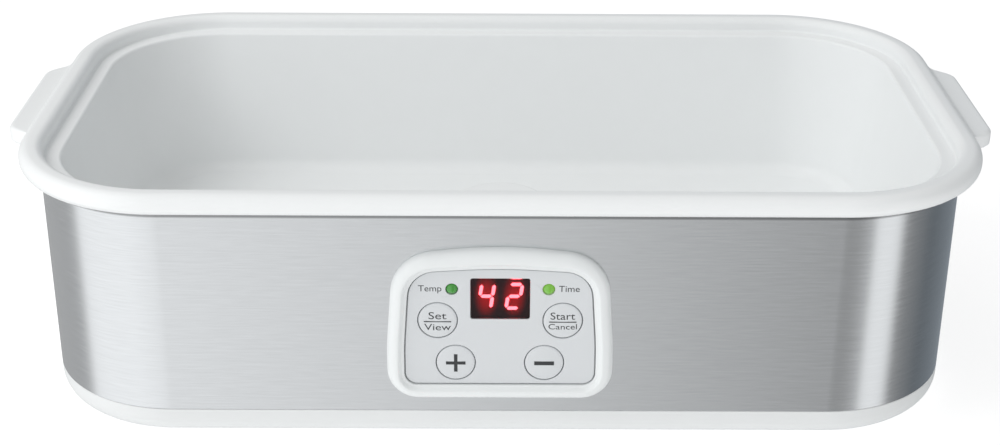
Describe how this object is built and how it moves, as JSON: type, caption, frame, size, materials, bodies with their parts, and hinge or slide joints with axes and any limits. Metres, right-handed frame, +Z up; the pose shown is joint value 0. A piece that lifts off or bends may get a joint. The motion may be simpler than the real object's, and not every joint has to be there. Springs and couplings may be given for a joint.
{
  "type": "yogurt maker",
  "caption": "Electric yogurt maker body: white rimmed well in a brushed steel band, control panel with display and round keys, base tray with feet.",
  "frame": {"origin": "on the table plane, under the middle of the body", "axes": "+X along the length to the right as seen from the control panel, +Y from the panel to the back, +Z up"},
  "size_m": [0.3572, 0.195, 0.098],
  "materials": {
    "white_plastic": "moulded white ABS, glossy",
    "white_base": "moulded white ABS, satin",
    "steel_sheet": "horizontally brushed stainless steel",
    "plain_steel": "zinc plated steel",
    "aluminium_sheet": "mill finish",
    "bezel_plastic": "moulded white ABS, high gloss",
    "face_plastic": "printed light grey polycarbonate, satin gloss",
    "key_plastic": "light grey moulded ABS, satin gloss",
    "window_glass": "smoked red acrylic",
    "digit_glow": "lit red diffusers",
    "light_green": "green tinted epoxy",
    "black_plastic": "black moulded plastic",
    "natural_plastic": "natural nylon",
    "circuit_board": "green solder mask",
    "rubber_foot": "grey rubber",
    "silicone_red": "silicone sheath",
    "mineral_felt": "felted fibre",
    "cable_grey": "PVC insulation",
    "relay_blue": "blue moulded case",
    "ceramic_tan": "ceramic and tape",
    "label_film": "blank matt film",
    "fuse_glass": "clear glass"
  },
  "bodies": {
    "housing": {"tub": "white_plastic", "steel_band": "steel_sheet", "band_joint_strip": "plain_steel", "base_tray": "white_base", "rubber_feet": "rubber_foot", "base_screws": "plain_steel", "rating_plate": "label_film", "control_bezel": "bezel_plastic", "face_plate": "face_plastic", "panel_backplate": "natural_plastic", "panel_screws": "plain_steel", "display_window": "window_glass", "display_module": "black_plastic", "display_digits": "digit_glow", "indicator_lights": "light_green", "control_board": "circuit_board", "control_board_screws": "plain_steel", "tact_switches": "black_plastic", "control_chip": "black_plastic", "buzzer": "black_plastic", "board_connector": "natural_plastic", "heater_plate": "aluminium_sheet", "heating_cord": "silicone_red", "insulation_pad": "mineral_felt", "temperature_sensor": "black_plastic", "sensor_holder": "natural_plastic", "thermal_fuse": "ceramic_tan", "fuse_clip": "plain_steel", "power_board": "circuit_board", "power_board_screws": "plain_steel", "relay": "relay_blue", "transformer": "ceramic_tan", "capacitor": "black_plastic", "glass_fuse": "fuse_glass", "terminal_block": "natural_plastic", "heater_leads": "silicone_red", "sensor_lead": "black_plastic", "link_cable": "cable_grey", "cord_gland": "black_plastic", "gland_nut": "black_plastic"},
    "set_view_button": {"key_set_view": "key_plastic"},
    "start_cancel_button": {"key_start_cancel": "key_plastic"},
    "plus_button": {"key_plus": "key_plastic"},
    "minus_button": {"key_minus": "key_plastic"}
  },
  "joints": [
    {"name": "set_view_press", "type": "slide", "parent": "housing", "child": "set_view_button", "axis": [0, 1, 0], "range_m": [0, 0.0005], "stiffness_N_per_m": 3200},
    {"name": "start_cancel_press", "type": "slide", "parent": "housing", "child": "start_cancel_button", "axis": [0, 1, 0], "range_m": [0, 0.0005], "stiffness_N_per_m": 3200},
    {"name": "plus_press", "type": "slide", "parent": "housing", "child": "plus_button", "axis": [0, 1, 0], "range_m": [0, 0.0005], "stiffness_N_per_m": 3200},
    {"name": "minus_press", "type": "slide", "parent": "housing", "child": "minus_button", "axis": [0, 1, 0], "range_m": [0, 0.0005], "stiffness_N_per_m": 3200}
  ]
}
